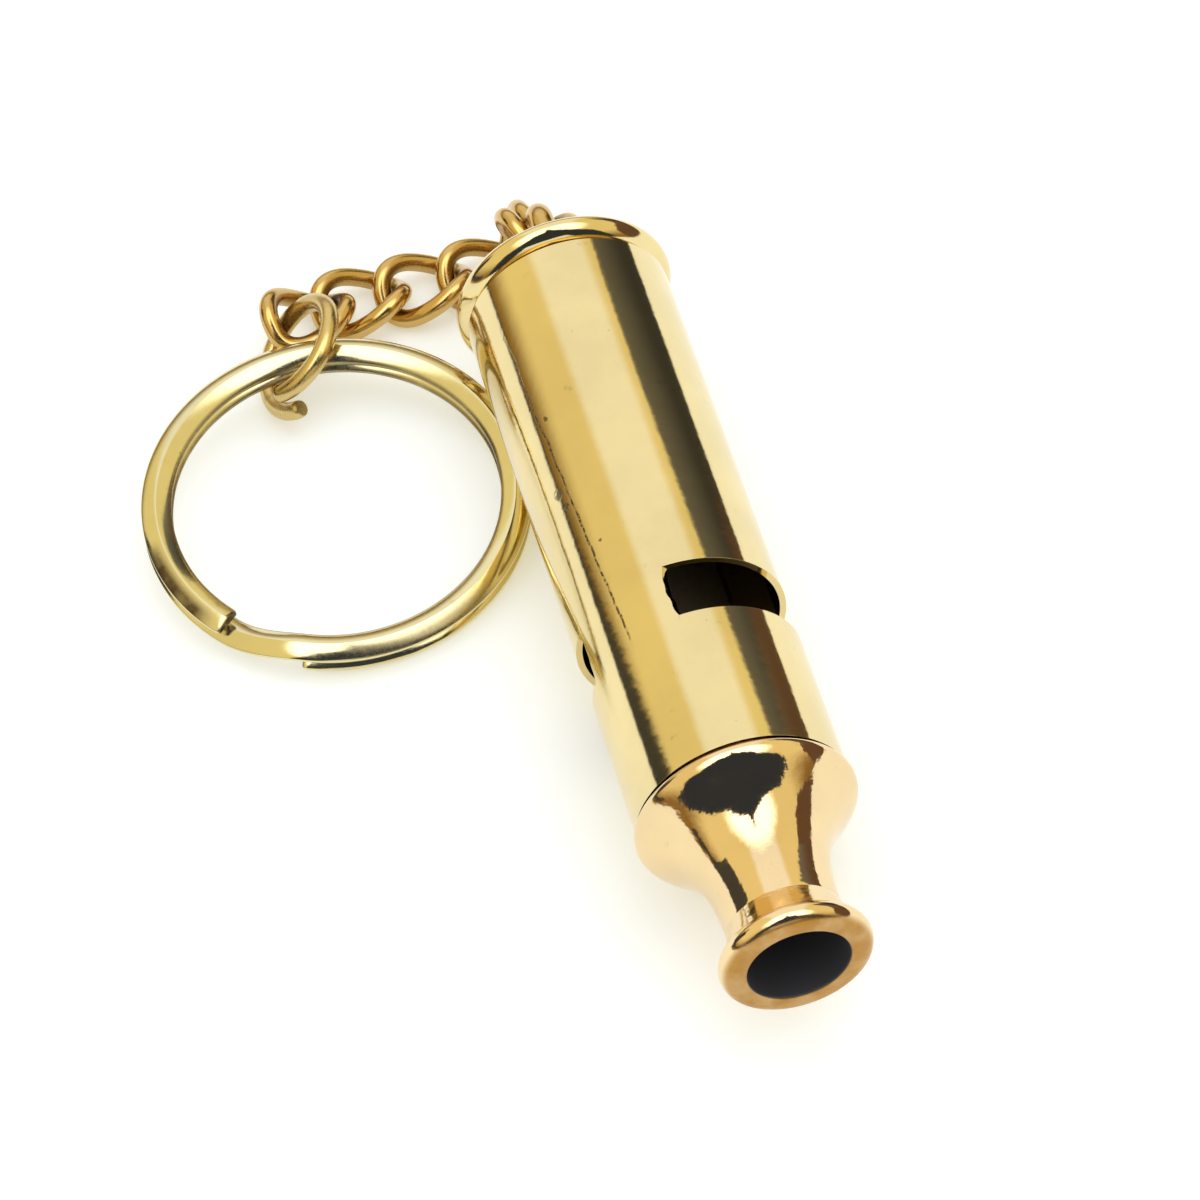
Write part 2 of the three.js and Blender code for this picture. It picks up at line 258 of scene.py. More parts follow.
def round_axis(radius, along, turn):
    """Points radius out from the whistle's axis, along from the cap's rim, and turned from up towards +X."""
    radius, along, turn = np.broadcast_arrays(radius, along, turn)
    across, up = radius * np.sin(turn), radius * np.cos(turn)
    return np.stack([AXIS_X + across, RIM_Y - along, AXIS_Z + up], axis=-1)


def turned(outline, sides=192):
    """A turned surface: each (radius, along) point of an outline carried once round the axis."""
    outline = np.asarray(outline, dtype=float)
    turn = np.linspace(0, 2 * np.pi, sides, endpoint=False)
    radius, along = outline[:, :1], outline[:, 1:]
    return round_axis(radius, along, turn[None, :])


def arc(radius, along, size, start, end, steps):
    """Points of a round of the given size about (radius, along), from start to end in degrees."""
    t = np.radians(np.linspace(start, end, steps))
    return np.stack([radius + size * np.cos(t), along + size * np.sin(t)], axis=-1)


def smooth(value):
    """A smooth step from 0 to 1 as value goes from 0 to 1: 3 times its square less 2 times its cube."""
    value = np.clip(value, 0, 1)
    return value ** 2 * (3 - 2 * value)


def between(run, low, high, soft):
    """1 where run is well between low and high, falling to 0 over soft inside each of them."""
    return smooth((run - low) / soft) * smooth((high - run) / soft)


def even(points, count):
    """The same closed path with count points at equal distances along it."""
    path = np.vstack([points, points[:1]])
    step = np.linalg.norm(np.diff(path, axis=0), axis=1)
    run = np.concatenate([[0.0], np.cumsum(step)])
    wanted = np.linspace(0, run[-1], count, endpoint=False)
    return np.stack([np.interp(wanted, run, path[:, i]) for i in range(3)], axis=-1)


def swept(path, section, up, closed):
    """A section carried along a path: its first value goes sideways, its second as near to up as it can."""
    if closed:
        forward = np.roll(path, -1, axis=0) - np.roll(path, 1, axis=0)
    else:
        forward = np.gradient(path, axis=0)
    forward /= np.linalg.norm(forward, axis=1, keepdims=True)
    side = np.cross(forward, up)
    side /= np.linalg.norm(side, axis=1, keepdims=True)
    rise = np.cross(side, forward)
    return path[:, None] + section[..., :1] * side[:, None] + section[..., 1:] * rise[:, None]


def squared(wave, power):
    """A sine or cosine to the power of 2 / power with its sign kept: more power makes a squarer oval."""
    return np.sign(wave) * np.abs(wave) ** (2 / power)


def round_wire(thick):
    """A round section of wire."""
    t = np.linspace(0, 2 * np.pi, 28, endpoint=False)
    return thick / 2 * np.stack([np.cos(t), np.sin(t)], axis=-1)


def cut_ends(section, count):
    """One section for each of count points of a wire, a little smaller at its two cut ends."""
    size = np.ones(count)
    size[[0, -1]] = 0.86
    size[[1, -2]] = 0.97
    return section[None] * size[:, None, None]


def at_ends(wire):
    """1 at the two cut ends of a wire, 0 elsewhere."""
    ends = np.zeros(wire.shape[:2])
    ends[[0, -1]] = 1.0
    return ends


def rotation(degrees, axis):
    """A turn about one axis of the frame."""
    return Matrix.Rotation(math.radians(degrees), 4, axis)


def lay(heading, dip, roll):
    """A turn about the length, then about the width, then about the vertical, in degrees."""
    return rotation(heading, "Z") @ rotation(dip, "Y") @ rotation(roll, "X")


def laid(points, turn, node):
    """Points turned about their origin, with their box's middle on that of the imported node's box."""
    placed = points.reshape(-1, 3) @ np.array(turn.to_3x3()).T
    low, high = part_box(node)
    middle = np.array((low + high) / 2)
    placed += middle - (placed.min(axis=0) + placed.max(axis=0)) / 2
    return placed.reshape(points.shape)


# Finishes

class Nodes:
    """Short calls that add linked shader nodes to one node tree."""

    def __init__(self, tree):
        """Starts with an empty tree."""
        self.tree = tree
        tree.nodes.clear()

    def add(self, kind, inputs=None, **settings):
        """A node with its settings, and with each input linked to a socket or set to a value."""
        node = self.tree.nodes.new(kind)
        for key, value in settings.items():
            setattr(node, key, value)
        for key, value in (inputs or {}).items():
            if isinstance(value, bpy.types.NodeSocket):
                self.tree.links.new(value, node.inputs[key])
            else:
                node.inputs[key].default_value = value
        return node

    def noise(self, where, scale, detail=3.0, roughness=0.55):
        """Cloudy noise about 0.5, with scale clouds to a metre."""
        return self.add("ShaderNodeTexNoise", {
            "Vector": where, "Scale": scale, "Detail": detail, "Roughness": roughness}).outputs["Fac"]

    def span(self, value, low, high, start=0.0, end=1.0):
        """A smooth step of value from low to high, as start to end."""
        return self.add("ShaderNodeMapRange", {
            "Value": value, "From Min": low, "From Max": high, "To Min": start, "To Max": end},
            interpolation_type="SMOOTHSTEP").outputs["Result"]

    def math(self, operation, a, b=0.0):
        """One operation on two values."""
        return self.add("ShaderNodeMath", {0: a, 1: b}, operation=operation).outputs[0]

    def vector(self, operation, a, b=(0.0, 0.0, 0.0)):
        """One operation on two vectors, as its Vector and Value outputs."""
        return self.add("ShaderNodeVectorMath", {0: a, 1: b}, operation=operation).outputs

    def parts(self, vector):
        """A vector's X, Y and Z outputs."""
        return self.add("ShaderNodeSeparateXYZ", {0: vector}).outputs

    def blend(self, amount, a, b):
        """Colour a where amount is 0 and colour b where it is 1."""
        return self.add("ShaderNodeMix", {0: amount, 6: a, 7: b}, data_type="RGBA").outputs[2]

    def layer(self, name):
        """The values of a mesh's own layer."""
        return self.add("ShaderNodeAttribute", attribute_name=name).outputs["Fac"]


def new_finish(name):
    """A new material and the calls that add nodes to it."""
    material = bpy.data.materials.new(name)
    material.use_nodes = True
    return material, Nodes(material.node_tree)


def opaque(values, strength=1.0):
    """A colour times strength, as the four values that a colour socket takes."""
    return (*(v * strength for v in values), 1.0)


# Patterns of the brass, in clouds to a metre, and the height that its bumps stand.
CLOUD_SCALE = 140.0
STAIN_SCALE = 420.0
PIT_SCALE = 2600.0
BUMP_HEIGHT = 0.02 * MM
BUMP_STRENGTH = 0.25

# Polishing lines to a metre in X, Y and Z. Lines that go round the whistle are fine only along it.
DRAWN_LINES = (60, 14000, 60)
TURNED_LINES = (60, 9000, 60)


def tarnish_and_shade_cover(n, place, film, marks, recess):
    """How dark a place is painted: the most of stains, pits, the piece's marks and its layer of tarnish and
    painted shade.
    """
    broad = n.noise(place, STAIN_SCALE, 6.0, 0.65)
    stain = n.span(broad, 0.66 - 0.12 * film, 0.80 - 0.10 * film, 0.0, 0.25 + 0.6 * film)
    pits = n.span(n.noise(place, PIT_SCALE, 2.0), 0.74, 0.80, 0.0, 0.35 + 0.4 * film)
    cover = n.math("MAXIMUM", stain, pits)
    if marks:
        cover = n.math("MAXIMUM", cover, marks(n, place))
    # Painted shade: the piece's own layer darkens where shade falls, such as where links cross and between
    # the key ring's coils, along with some tarnish.
    if recess:
        patchy = n.span(broad, 0.2, 0.6, recess * 0.6, recess)
        cover = n.math("MAXIMUM", cover, n.math("MULTIPLY", n.layer("recess"), patchy))
    return cover


def brass(name, base, tarnish, polish, lines, film, marks=None, recess=0.0, metal=1.0,
          waves=(700.0, 1.2), hollow=None, oxide=None):
    """Brass: fine lines left by polishing, a cloudy change of tone, a thin tarnish film, a few pits and, on
    some pieces, painted shade.

    polish is the roughness, lines the scale of the polishing lines, film how much tarnish shows, marks a
    function for the piece's own marks, among them painted shade and painted dark reflections, then how
    strongly the piece's own layer of tarnish and painted shade shows, and waves the scale and height of a
    slight unevenness, which makes the edges of reflections ragged. hollow is a function that is 1 inside a
    bore, and oxide the dull colour there.
    """
    material, n = new_finish(name)
    place = n.add("ShaderNodeTexCoord").outputs["Object"]
    tarnish_with_painted_shade = tarnish_and_shade_cover(n, place, film, marks, recess)
    cloudy = n.span(n.noise(place, CLOUD_SCALE, 4.0), 0.3, 0.7)
    tone = n.blend(cloudy, opaque(base, 0.95), opaque(base, 1.04))
    shade = n.blend(tarnish_with_painted_shade, tone, opaque(tarnish))
    stretched = n.add("ShaderNodeMapping", {"Vector": place, "Scale": lines}).outputs["Vector"]
    fine = n.noise(stretched, 1.0, 5.0, 0.7)
    polished = n.span(fine, 0.3, 0.75, polish * 0.8, polish * 1.3)
    rough = n.math("ADD", polished, n.math("MULTIPLY", tarnish_with_painted_shade, 0.25))
    ripple = n.math("MULTIPLY", n.noise(place, waves[0], 2.0), waves[1])
    uneven = n.math("ADD", n.math("MULTIPLY", fine, 0.25), ripple)
    height = n.math("SUBTRACT", uneven, tarnish_with_painted_shade)
    bump = n.add("ShaderNodeBump", {"Height": height, "Strength": BUMP_STRENGTH, "Distance": BUMP_HEIGHT})
    if hollow:
        inside = hollow(n, place)
        shade = n.blend(inside, shade, opaque(oxide))
        metal = n.math("SUBTRACT", metal, inside)
        rough = n.math("MAXIMUM", rough, n.math("MULTIPLY", inside, 0.6))
    shader = n.add("ShaderNodeBsdfPrincipled", {
        "Base Color": shade, "Metallic": metal, "Roughness": rough, "Normal": bump.outputs["Normal"]})
    n.add("ShaderNodeOutputMaterial", {"Surface": shader.outputs["BSDF"]})
    return material


def along_whistle(n, place):
    """Places along the whistle, from the cap's rim towards the mouth."""
    return n.math("SUBTRACT", RIM_Y, n.parts(place)["Y"])


# A slanting line of pits on the tube's left: its turn at the cap's rim, its change of turn along the tube,
# its half width at the edge and at the core, and where it fades in and out along the tube.
PIT_LINE_TURN = math.radians(-51)
PIT_LINE_SLANT = math.radians(0.43) / MM
PIT_LINE_EDGE, PIT_LINE_CORE = math.radians(1.1), math.radians(0.25)
PIT_LINE_WAVER = 0.02
PIT_LINE_START = (4.0 * MM, 9.0 * MM)
PIT_LINE_END = (38.5 * MM, 36.0 * MM)

# Spots of tarnish on the tube: place along it in millimetres, turn in degrees, radius in millimetres.
TUBE_SPOTS = ((21.9, -47, 0.5), (23.4, -46, 0.35), (15.2, -40, 0.3), (28.1, -32, 0.2))


def tube_marks(n, place):
    """Pits along a slanting line on the tube's left, and spots of tarnish near it."""
    away = n.parts(n.vector("SUBTRACT", place, (AXIS_X, RIM_Y, AXIS_Z))["Vector"])
    turn = n.math("ARCTAN2", away["X"], away["Z"])
    along = along_whistle(n, place)
    line_turn = n.math("ADD", n.math("MULTIPLY", along, PIT_LINE_SLANT), PIT_LINE_TURN)
    waver = n.span(n.noise(place, 350.0, 4.0), 0.2, 0.8, -PIT_LINE_WAVER, PIT_LINE_WAVER)
    off = n.math("ABSOLUTE", n.math("ADD", n.math("SUBTRACT", turn, line_turn), waver))
    dots = n.span(n.noise(place, 3000.0, 2.0), 0.42, 0.56, 0.25, 1.0)
    line = n.math("MULTIPLY", n.span(off, PIT_LINE_EDGE, PIT_LINE_CORE), dots)
    ends = n.math("MULTIPLY", n.span(along, *PIT_LINE_START), n.span(along, *PIT_LINE_END))
    marks = n.math("MULTIPLY", n.math("MULTIPLY", line, ends), 0.9)
    ragged = n.span(n.noise(place, 1800.0, 3.0), 0.3, 0.7, 0.6, 1.4)
    for spot_along, spot_turn, wide in TUBE_SPOTS:
        middle = round_axis(sizes()[0].tube_radius, spot_along * MM, math.radians(spot_turn)).tolist()
        far = n.math("MULTIPLY", n.vector("DISTANCE", place, middle)["Value"], ragged)
        marks = n.math("MAXIMUM", marks, n.span(far, wide * MM, 0.55 * wide * MM, 0.0, 0.7))
    return marks


def cap_groove_film_and_shade(n, place):
    """A painted dark band in the groove between the bead and the tube: painted shade and the bead's painted
    dark reflection of the tube, with some brown tarnish.
    """
    patchy = n.span(n.noise(place, 260.0, 3.0), 0.3, 0.65, 0.6, 1.0)
    # Painted shade and dark reflection in the groove, with some tarnish.
    groove = n.span(along_whistle(n, place), -0.2 * MM, -0.1 * MM, 0.0, 0.2)
    return n.math("MULTIPLY", groove, patchy)


def mouth_patina_and_dark_reflection(n, place):
    """A brown patina on the lip's face together with a painted dark reflection of the shaded floor in front
    of it, and a brown film along the joint with the tube.
    """
    along = along_whistle(n, place)
    patchy = n.span(n.noise(place, 380.0, 3.0), 0.25, 0.7, 0.75, 1.1)
    # The lip's face: patina and a painted dark reflection of the shaded floor.
    face = n.span(along, MOUTH_END - 0.6 * MM, MOUTH_END - 0.1 * MM, 0.0, 0.92)
    joint = n.span(along, TUBE_END + 0.5 * MM, TUBE_END + 0.3 * MM, 0.0, 0.6)
    return n.math("MULTIPLY", n.math("MAXIMUM", face, joint), patchy)


def mouth_bore(n, place):
    """1 inside the mouth's bore, by the distance from the whistle's axis, and 0 outside it."""
    bore = sizes()[0].bore_radius
    away = n.vector("SUBTRACT", place, (AXIS_X, 0, AXIS_Z))["Vector"]
    across = n.vector("MULTIPLY", away, (1, 0, 1))["Vector"]
    radius = n.vector("LENGTH", across)["Value"]
    return n.span(radius, bore + 0.12 * MM, bore + 0.04 * MM)


# Tube

# Cells of the tube's wall: round it across a window and across the land between two windows, and rows of
# points along it before, in and past the windows.
WINDOW_CELLS, LAND_CELLS = 84, 42
HALF_TURN_CELLS = WINDOW_CELLS + LAND_CELLS
ROWS_BEFORE, ROWS_IN_WINDOW, ROWS_PAST = 40, 14, 17


def window_end(place):
    """How far a window's end strays from straight, in radians: slightly round corners and a file's waver.

    place goes from 0 to 1 along the window. The corners fall off exponentially from both, and the waver is
    two sines.
    """
    corners = np.exp(-place / 0.07) + np.exp((place - 1) / 0.07)
    return 0.03 * corners + 0.008 * np.sin(9 * place + 0.6) + 0.005 * np.sin(21 * place)


def window_turns(half, middle):
    """Turns of the cells' sides, once round, even across each window and across the land between windows.

    The two windows are on opposite sides. Each reaches half to either side of its middle.
    """
    corners = np.array([-half, half, np.pi - half, np.pi + half, 2 * np.pi - half]) + middle
    counts = (WINDOW_CELLS, LAND_CELLS, WINDOW_CELLS, LAND_CELLS)
    return np.concatenate([np.linspace(corners[i], corners[i + 1], count, endpoint=False)
                           for i, count in enumerate(counts)])


def open_edges(index, right, kept):
    """Edges where a kept cell meets a missing one or the tube's end, as the wall's sides take them."""
    none = np.zeros((1, kept.shape[1]), bool)
    padded = np.vstack([none, kept, none])
    starts = padded[1:] & ~padded[:-1]
    ends = padded[:-1] & ~padded[1:]
    before = np.roll(kept, 1, axis=1)
    first, last = kept & ~before, before & ~kept
    pairs = ((right[starts], index[starts]), (index[ends], right[ends]),
             (index[:-1][first], index[1:][first]), (index[1:][last], index[:-1][last]))
    return np.concatenate([np.stack(pair, axis=-1) for pair in pairs])


def tube_with_windows(size):
    """A wall between two cylinders, as cells of turn by length, with the cells of the two windows left out.

    A window is a straight cut, so it reaches round each cylinder to where the cut's flat meets it: the turn
    whose cosine is the flat's distance from the axis over the radius. Wherever a kept cell meets a missing
    one or the tube's end, a face closes the wall from outside to inside.
    """
    near = size.window_place
    far = near + size.window_length
    flat = size.tube_radius - size.window_depth
    along = np.concatenate([np.linspace(FIT, near, ROWS_BEFORE, endpoint=False),
                            np.linspace(near, far, ROWS_IN_WINDOW, endpoint=False),
                            np.linspace(far, TUBE_END, ROWS_PAST)])
    rows, columns = len(along), 2 * HALF_TURN_CELLS
    place = (along - near) / (far - near)
    filed = np.where((place > -0.01) & (place < 1.01), window_end(place), 0.0)[:, None]
    # The first end of each window strays as it was filed, the second end less and the other way.
    side = np.zeros(columns)
    side[[0, HALF_TURN_CELLS]] = 1.0
    side[[WINDOW_CELLS, HALF_TURN_CELLS + WINDOW_CELLS]] = -0.6
    walls = []
    for radius in (size.tube_radius, size.tube_radius - size.tube_wall):
        turn = window_turns(math.acos(flat / radius), size.window_turn)
        walls.append(round_axis(radius, along[:, None], turn + side * filed).reshape(-1, 3))
    points = np.concatenate(walls)
    index = np.arange(rows * columns).reshape(rows, columns)
    right = np.roll(index, -1, axis=1)
    middle = (along[:-1] + along[1:]) / 2
    in_window = np.arange(columns) % HALF_TURN_CELLS < WINDOW_CELLS
    kept = ~(((middle > near) & (middle < far))[:, None] & in_window)
    outside = np.stack([index[:-1], right[:-1], right[1:], index[1:]], axis=-1)[kept]
    edges = open_edges(index, right, kept)
    to_inside = rows * columns
    inside = outside[:, ::-1] + to_inside
    sides = np.hstack([edges, edges[:, ::-1] + to_inside])
    faces = np.concatenate([outside, inside, sides])
    if not faces_out(points, faces):
        faces = faces[:, ::-1]
    return points, faces.tolist()


class WHISTLE_OT_body_tube(bpy.types.Operator):
    """Builds the drawn tube with its two windows"""
    bl_idname = "whistle.body_tube"
    bl_label = "Body Tube"

    def execute(self, context):
        size, _, brasses, _ = sizes()
        piece = make_mesh("body_tube_skin", *tube_with_windows(size))
        bevel = piece.modifiers.new("worn_edges", "BEVEL")
        bevel.width = size.edge_wear
        bevel.segments = 2
        bevel.limit_method = "ANGLE"
        bevel.angle_limit = math.radians(50)
        bevel.harden_normals = True
        finish = brass("polished_tube_brass", brasses.tube, brasses.tarnish, polish=0.07, lines=DRAWN_LINES,
                       film=0.1, marks=tube_marks, waves=(900.0, 1.6))
        settle(piece, "whistle", "polished_brass", finish, "body_tube")
        return {"FINISHED"}


# Cap, eye and mouthpiece

# The bead's bends from its back to its front: size in half lengths of the bead, start and end in degrees.
BEAD_BENDS = ((1.26, -85, -40), (0.646, -40, 30), (1.59, 30, 63), (0.54, 63, 85))
BEAD_GAP = 0.1 * MM  # from the bead's front to the cap's rim
FACE_INSET = 0.3 * MM  # from the foot of the bead to the edge of the cap's flat face


def spigot_radii(size):
    """Outside and inside radius of the spigots, with which the cap and the mouthpiece sit in the tube."""
    outside = size.tube_radius - size.tube_wall - FIT
    return outside, outside - size.spigot_wall


def bead_outline(crest, half):
    """The bead's outline from back to front: a domed back, a tight crest, a slope and a small round.

    Each bend goes on from the end of the one before, so the outline is smooth. crest is its greatest radius.
    """
    points = np.zeros((1, 2))
    for size, start, end in BEAD_BENDS:
        bend = arc(0, 0, size * half, start, end, 18)
        points = np.vstack([points, points[-1] + bend[1:] - bend[0]])
    return points + [crest - points[:, 0].max(), -points[-1, 1] - BEAD_GAP]


def cap_outline(size):
    """The cap's closed outline: a flat face with the eye's hole, the bead and the hollow spigot."""
    bead = size.bead_length / 2
    hole = size.eye_wire / 2 + FIT
    plate = CAP_FACE + size.cap_plate
    spigot, spigot_inside = spigot_radii(size)
    return np.vstack([
        [hole, CAP_FACE], [size.tube_radius - bead - FACE_INSET, CAP_FACE],
        bead_outline(size.tube_radius + size.bead_rise, bead),
        [spigot, 0], [spigot, size.spigot_length], [spigot_inside, size.spigot_length],
        [spigot_inside, plate], [hole, plate]])


def eye_outline(size):
    """The outline of the eye's post: a collar on the cap's face, a shank and a riveted end inside."""
    wire, collar, tall = size.eye_wire / 2, size.collar_radius, size.collar_height
    seat = CAP_FACE - FIT
    inside = seat + size.cap_plate + 2 * FIT
    flat, outer_round, inner_round = 0.6 * MM, 0.4 * MM, 0.5 * MM
    return np.vstack([
        [flat, seat - tall], arc(collar - outer_round, seat - tall + outer_round, outer_round, -90, 0, 8),
        [collar, seat], [wire, seat], [wire, inside], [collar, inside],
        arc(collar - inner_round, inside + tall - inner_round, inner_round, 0, 90, 8),
        [flat, inside + tall]])


class WHISTLE_OT_end_cap(bpy.types.Operator):
    """Builds the beaded cap and the eye that is riveted through it"""
    bl_idname = "whistle.end_cap"
    bl_label = "End Cap"

    def execute(self, context):
        size, _, brasses, _ = sizes()
        cap = make_mesh("end_cap_skin", *skin(turned(cap_outline(size)), True, True))
        finish = brass("polished_cap_brass", brasses.tube, brasses.tarnish, polish=0.08, lines=DRAWN_LINES,
                       film=0.15, marks=cap_groove_film_and_shade)
        settle(cap, "whistle", "polished_brass", finish, "end_cap")
        self.make_eye(size, brasses)
        return {"FINISHED"}

    def make_eye(self, size, brasses):
        """The eye: a loop of wire that stands upright on the axis, and a post that goes through the cap."""
        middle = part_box("cap_eye")[1].y - size.eye_radius - size.eye_wire / 2
        t = np.linspace(0, 2 * np.pi, 96, endpoint=False)
        path = np.stack([0 * t + AXIS_X, middle + size.eye_radius * np.cos(t),
                         AXIS_Z + size.eye_radius * np.sin(t)], axis=-1)
        wire = swept(path, round_wire(size.eye_wire), (1, 0, 0), True)
        loop = make_mesh("cap_eye_loop", *skin(wire, True, True))
        post = make_mesh("cap_eye_post", *skin(turned(eye_outline(size), 64), False, True, cap_ends=True))
        finish = brass("eye_brass", brasses.chain, brasses.tarnish, polish=0.2, lines=(3000,) * 3, film=0.4)
        settle(loop, "whistle", "chain_brass", finish, "cap_eye")
        settle(post, "whistle", "chain_brass", finish)


def mouth_outline(size):
    """The mouthpiece's closed outline: its spigot, shoulder, waist, cuff and lip, and back through the bore.

    The waist's radius falls from the shoulder's to the neck's as (1 + run) times e to the power of minus
    run, where run is the place past the shoulder in sweeps. The cuff flares as its place to the power of
    1.1, and the bore widens like a funnel to the inside of the spigot.
    """
    start = TUBE_END + FIT
    shoulder = size.tube_radius + size.shoulder_rise
    waist_start = start + size.shoulder_length
    neck = start + (MOUTH_END - start) * size.neck_share
    run = (neck - waist_start) / size.sweep * np.linspace(0, 1, 90) ** 1.5
    drawn = (shoulder - size.neck_radius) * (1 + run) * np.exp(-run)
    waist = np.stack([size.neck_radius + drawn, waist_start + size.sweep * run], axis=-1)
    lip = MOUTH_END - size.lip_roll
    lip_back = lip - size.lip_roll
    place = np.linspace(0.06, 1, 14)
    flare = size.cuff_rise * place ** 1.1
    cuff = np.stack([size.neck_radius + flare, neck + (lip_back - neck) * place], axis=-1)
    bend, edge, bore = size.shoulder_round, size.lip_edge, size.bore_radius
    spigot, spigot_inside = spigot_radii(size)
    funnel_start, funnel_end = waist_start + 2.5 * size.sweep, start + 0.5 * MM
    return np.vstack([
        [spigot, start - size.spigot_length], [spigot, start], [shoulder - bend, start],
        arc(shoulder - bend, start + bend, bend, -80, 0, 10), waist, cuff,
        arc(size.lip_radius - size.lip_roll, lip, size.lip_roll, -62, 90, 40),
        [bore + edge, MOUTH_END], arc(bore + edge, MOUTH_END - edge, edge, 100, 180, 10),
        [bore, funnel_start], [spigot_inside, funnel_end], [spigot_inside, start - size.spigot_length]])


class WHISTLE_OT_mouthpiece(bpy.types.Operator):
    """Builds the turned mouthpiece"""
    bl_idname = "whistle.mouthpiece"
    bl_label = "Mouthpiece"

    def execute(self, context):
        size, _, brasses, _ = sizes()
        piece = make_mesh("mouthpiece_skin", *skin(turned(mouth_outline(size)), True, True), crease=14)
        finish = brass("turned_mouth_brass", brasses.mouth, brasses.patina, polish=0.07, lines=TURNED_LINES,
                       film=0.12, marks=mouth_patina_and_dark_reflection, waves=(1400.0, 2.4), hollow=mouth_bore,
                       oxide=brasses.bore)
        settle(piece, "whistle", "turned_brass", finish, "mouthpiece")
        return {"FINISHED"}


class WHISTLE_OT_inner_works(bpy.types.Operator):
    """Finishes the plug, the divider and the stop inside the tube"""
    bl_idname = "whistle.inner_works"
    bl_label = "Inner Works"

    def execute(self, context):
        brasses = sizes()[2]
        finish = brass("dull_inner_brass", brasses.inside, brasses.tarnish, polish=0.5, lines=(4000,) * 3,
                       film=0.8, metal=0.6)
        for name in ("fipple_plug", "divider_plate", "chamber_stop"):
            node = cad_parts[name]
            node.data.materials.clear()
            node.data.materials.append(finish)
        return {"FINISHED"}


# Chain and rings

# How each link and the jump ring lie: heading, dip and roll in degrees.
LINK_LAYS = ((-127, -44, -178), (97, -53, -54), (-2, 0, 0), (-2, 0, 0), (-2, 0, 0), (27, 20, -179))
JUMP_LAY = (-123, 18, 38)

# How the key ring lies on the jump ring: turns about X and Y in degrees.
RING_TILT = (5.1, 2.3)

LINK_POWER = 2.5  # how square a link's oval is, where 2 is an ellipse
ROOF_POWER = 1.25  # how square the key ring's dome is, less than an ellipse
JUMP_START = math.radians(7)  # turn at which the jump ring's wire starts


def link_path(size):
    """A curb link's wire: a superellipse whose width turns about its length, more towards each end."""
    t = np.linspace(0, 2 * np.pi, 4000, endpoint=False)
    along = squared(np.cos(t), LINK_POWER)
    across = size.link_width / 2 * squared(np.sin(t), LINK_POWER)
    twist = -size.link_twist * along
    path = np.stack([size.link_length / 2 * along, across * np.cos(twist), across * np.sin(twist)], axis=-1)
    return even(path, 180)


def inner_side(path, wire, reach):
    """How far each point of a link's wire faces the link's middle, most at the ends where links cross, which
    the chain's finish paints as shade.
    """
    out = wire - path[:, None]
    inward = -path / np.linalg.norm(path, axis=1, keepdims=True)
    facing = np.einsum("rci,ri->rc", out, inward) / np.linalg.norm(out, axis=2)
    end = smooth((np.abs(path[:, 0]) / reach - 0.3) / 0.5)
    return np.clip(facing, 0, 1) * (0.35 + 0.65 * end[:, None])


class WHISTLE_OT_curb_chain(bpy.types.Operator):
    """Builds the six twisted links"""
    bl_idname = "whistle.curb_chain"
    bl_label = "Curb Chain"

    def execute(self, context):
        _, size, brasses, _ = sizes()
        finish = brass("worn_chain_brass", brasses.chain, brasses.tarnish, polish=0.2, lines=(3200,) * 3,
                       film=0.4, recess=0.75)
        path = link_path(size)
        wire = swept(path, round_wire(size.wire), (0, 0, 1), True)
        # Painted shade: the inner side of each link's wire, most where the links cross, is painted darker,
        # along with some tarnish.
        inner_shade = inner_side(path, wire, size.link_length / 2)
        for number, turns in enumerate(LINK_LAYS, start=1):
            node = f"chain_link_{number}"
            link = make_mesh(f"{node}_skin", *skin(laid(wire, lay(*turns), node), True, True), recess=inner_shade)
            settle(link, f"link_{number}", "chain_brass", finish, node)
        return {"FINISHED"}


def jump_path(size):
    """The jump ring's wire: an even spiral of a little more than one turn, sprung open at its end.

    It goes sideways by its step in each turn. Its radius grows over its last quarter, as a smooth step.
    """
    run = np.linspace(0, 1, 180)
    turn = JUMP_START + size.jump_turn * run
    radius = size.jump_radius + size.jump_spring * smooth((run - 0.75) / 0.25)
    sideways = size.jump_step * size.jump_turn / (2 * np.pi) * (0.5 - run)
    return np.stack([radius * np.cos(turn), radius * np.sin(turn), sideways], axis=-1)


class WHISTLE_OT_jump_ring(bpy.types.Operator):
    """Builds the jump ring, one turn of wire with its ends side by side"""
    bl_idname = "whistle.jump_ring"
    bl_label = "Jump Ring"

    def execute(self, context):
        _, size, brasses, _ = sizes()
        path = jump_path(size)
        wire = swept(path, cut_ends(round_wire(size.wire), len(path)), (0, 0, 1), False)
        placed = laid(wire, lay(*JUMP_LAY), "jump_ring")
        piece = make_mesh("jump_ring_skin", *skin(placed, False, True, cap_ends=True), recess=at_ends(wire))
        finish = brass("worn_jump_brass", brasses.jump, brasses.tarnish, polish=0.25, lines=(3200,) * 3,
                       film=0.35, recess=0.2)
        settle(piece, "jump", "chain_brass", finish, "jump_ring")
        return {"FINISHED"}


# Painted dark reflections on the upper coil's outer slope: from and to in degrees along the wire, softness
# and strength.
RING_DARK_REFLECTIONS = ((2, 40, 9, 1.0), (266, 324, 12, 0.6))
INNER_GAP_SHADE = 0.7  # strength of the painted shade along the ring's inner edge, in the gap between the coils


